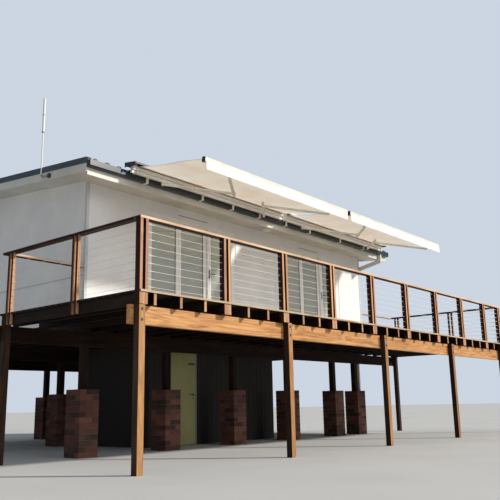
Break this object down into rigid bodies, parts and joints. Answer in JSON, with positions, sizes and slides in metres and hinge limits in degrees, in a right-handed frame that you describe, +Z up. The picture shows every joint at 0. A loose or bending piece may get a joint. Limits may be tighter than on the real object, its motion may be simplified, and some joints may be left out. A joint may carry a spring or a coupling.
{
  "type": "stilt house",
  "caption": "House on brick piers with a timber deck on stilts, wire railing, low gable roof, folding arm awnings and a store under the floor with a hinged door.",
  "frame": {"origin": "middle of the footprint box, on the level that all stilts and piers stand on", "axes": "+X along the deck front to the right, +Y from the deck to the back of the house, +Z up"},
  "size_m": [12.21, 10.695, 6.1509],
  "materials": {
    "timber": "oiled",
    "dark_timber": "rough sawn",
    "decking": "weathered",
    "brick": "brick and mortar",
    "wall_sheet": "painted sheet",
    "trim": "satin",
    "white_metal": "satin",
    "roof_metal": "satin",
    "wire": "brushed",
    "pole": "satin",
    "glass": "clear",
    "cloth": "woven",
    "awning_cloth": "woven",
    "store_wall": "painted board",
    "store_door_paint": "painted"
  },
  "bodies": {
    "house": {"stilts": "timber", "front_bearer": "timber", "rear_bearer": "dark_timber", "house_bearers": "dark_timber", "deck_joists": "timber", "deck_boards": "decking", "rail_posts": "timber", "side_rail_posts": "timber", "handrails": "timber", "front_rail_wires": "wire", "side_rail_wires": "wire", "front_brick_piers": "brick", "rear_brick_piers": "brick", "pier_posts": "dark_timber", "house_floor": "dark_timber", "front_wall": "wall_sheet", "side_walls": "wall_sheet", "back_wall": "wall_sheet", "cover_strips": "trim", "ceiling": "wall_sheet", "roof_trusses": "dark_timber", "front_roof_sheet": "roof_metal", "back_roof_sheet": "roof_metal", "roof_flashings": "roof_metal", "eave_fascias": "white_metal", "barge_boards": "white_metal", "soffits": "white_metal", "gutters": "roof_metal", "downpipes": "white_metal", "antenna_mast": "pole", "door_and_window_frames": "white_metal", "door_and_window_glass": "glass", "curtains": "cloth", "store_wall_left_of_door": "store_wall", "store_wall_right_of_door": "store_wall", "store_wall_over_door": "store_wall", "store_walls": "store_wall", "store_door_frame": "white_metal", "awning_brackets": "white_metal", "awning_rollers": "white_metal", "awning_hoods": "roof_metal", "left_awning_fabric": "awning_cloth", "right_awning_fabric": "awning_cloth"},
    "store_door": {"store_door": "store_door_paint"},
    "left_awning_left_upper_arm": {"left_awning_left_upper_arm": "white_metal"},
    "left_awning_left_forearm": {"left_awning_left_forearm": "white_metal"},
    "left_awning_right_upper_arm": {"left_awning_right_upper_arm": "white_metal"},
    "left_awning_right_forearm": {"left_awning_right_forearm": "white_metal"},
    "left_awning_front_bar": {"left_awning_front_bar": "white_metal", "left_awning_valance": "awning_cloth"},
    "right_awning_left_upper_arm": {"right_awning_left_upper_arm": "white_metal"},
    "right_awning_left_forearm": {"right_awning_left_forearm": "white_metal"},
    "right_awning_right_upper_arm": {"right_awning_right_upper_arm": "white_metal"},
    "right_awning_right_forearm": {"right_awning_right_forearm": "white_metal"},
    "right_awning_front_bar": {"right_awning_front_bar": "white_metal", "right_awning_valance": "awning_cloth"}
  },
  "joints": [
    {"name": "store_door_hinge", "type": "hinge", "parent": "house", "child": "store_door", "pos_m": [-1.8115, -1.3295, 1], "axis": [0, 0, 1], "range_deg": [-100, 0]},
    {"name": "left_awning_fold", "type": "hinge", "parent": "house", "child": "left_awning_left_upper_arm", "pos_m": [-3.6, -3.0725, 4.595], "axis": [0, -0.1392, 0.9903], "range_deg": [0, 33], "deforming": ["left_awning_fabric"]},
    {"name": "left_awning_left_elbow", "type": "hinge", "parent": "left_awning_left_upper_arm", "child": "left_awning_left_forearm", "pos_m": [-2.57559, -3.86507, 4.48361], "axis": [0, -0.1392, 0.9903], "range_deg": [-67, 1]},
    {"name": "left_awning_left_wrist", "type": "hinge", "parent": "left_awning_left_forearm", "child": "left_awning_front_bar", "pos_m": [-3.6, -4.65764, 4.37222], "axis": [0, -0.1392, 0.9903], "range_deg": [-1, 34]},
    {"name": "left_awning_right_shoulder", "type": "hinge", "parent": "house", "child": "left_awning_right_upper_arm", "pos_m": [-0.74, -3.0725, 4.595], "axis": [0, -0.1392, 0.9903], "range_deg": [-34, 1]},
    {"name": "left_awning_right_elbow", "type": "hinge", "parent": "left_awning_right_upper_arm", "child": "left_awning_right_forearm", "pos_m": [-1.76441, -3.86507, 4.48361], "axis": [0, -0.1392, 0.9903], "range_deg": [-1, 67]},
    {"name": "right_awning_fold", "type": "hinge", "parent": "house", "child": "right_awning_left_upper_arm", "pos_m": [0.62, -3.0725, 4.595], "axis": [0, -0.1392, 0.9903], "range_deg": [0, 33], "deforming": ["right_awning_fabric"]},
    {"name": "right_awning_left_elbow", "type": "hinge", "parent": "right_awning_left_upper_arm", "child": "right_awning_left_forearm", "pos_m": [1.64441, -3.86507, 4.48361], "axis": [0, -0.1392, 0.9903], "range_deg": [-67, 1]},
    {"name": "right_awning_left_wrist", "type": "hinge", "parent": "right_awning_left_forearm", "child": "right_awning_front_bar", "pos_m": [0.62, -4.65764, 4.37222], "axis": [0, -0.1392, 0.9903], "range_deg": [-1, 34]},
    {"name": "right_awning_right_shoulder", "type": "hinge", "parent": "house", "child": "right_awning_right_upper_arm", "pos_m": [3.48, -3.0725, 4.595], "axis": [0, -0.1392, 0.9903], "range_deg": [-34, 1]},
    {"name": "right_awning_right_elbow", "type": "hinge", "parent": "right_awning_right_upper_arm", "child": "right_awning_right_forearm", "pos_m": [2.45559, -3.86507, 4.48361], "axis": [0, -0.1392, 0.9903], "range_deg": [-1, 67]}
  ],
  "couplings": [
    {"joint": "left_awning_left_elbow", "follows": "left_awning_fold", "ratio": -2},
    {"joint": "left_awning_left_wrist", "follows": "left_awning_fold", "ratio": 1},
    {"joint": "left_awning_right_shoulder", "follows": "left_awning_fold", "ratio": -1},
    {"joint": "left_awning_right_elbow", "follows": "left_awning_fold", "ratio": 2},
    {"joint": "right_awning_left_elbow", "follows": "right_awning_fold", "ratio": -2},
    {"joint": "right_awning_left_wrist", "follows": "right_awning_fold", "ratio": 1},
    {"joint": "right_awning_right_shoulder", "follows": "right_awning_fold", "ratio": -1},
    {"joint": "right_awning_right_elbow", "follows": "right_awning_fold", "ratio": 2}
  ]
}
